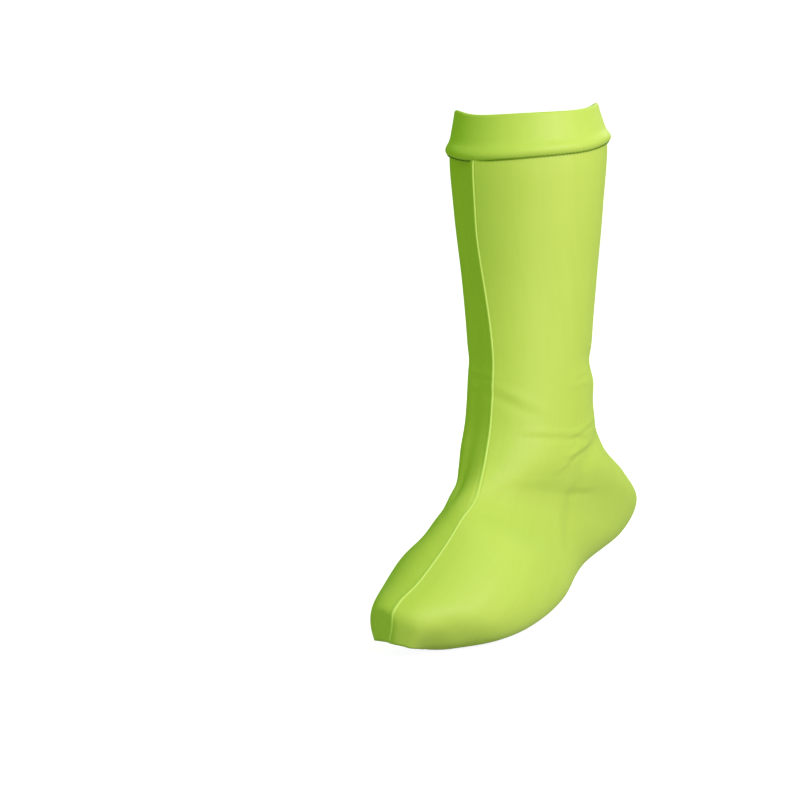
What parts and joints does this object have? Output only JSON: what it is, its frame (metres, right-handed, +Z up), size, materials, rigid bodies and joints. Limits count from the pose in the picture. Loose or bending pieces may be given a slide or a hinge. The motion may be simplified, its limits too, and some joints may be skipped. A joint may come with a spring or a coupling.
{
  "type": "knee-high stretch boot cover, left foot",
  "caption": "Stretch fabric boot cover in its worn shape: closed foot with a blunt toe, tapered shaft, raised front seam and a doubled elastic band round the open top.",
  "frame": {"origin": "on the inside of the sole, at the ball of the foot, where the foot bears on the cover", "axes": "+Z up along the shaft, -Y towards the toe, +X towards the outer side of the left foot"},
  "size_m": [0.1198, 0.2883, 0.3402],
  "materials": {
    "knit": "smooth lime green stretch knit with a soft sheen",
    "band_knit": "the same knit, doubled over elastic",
    "seam_knit": "the same knit, sewn into a narrow ridge"
  },
  "bodies": {
    "root": {"lateral_panel": "knit", "medial_panel": "knit", "top_band": "band_knit", "front_seam": "seam_knit", "back_seam": "seam_knit"}
  },
  "joints": []
}
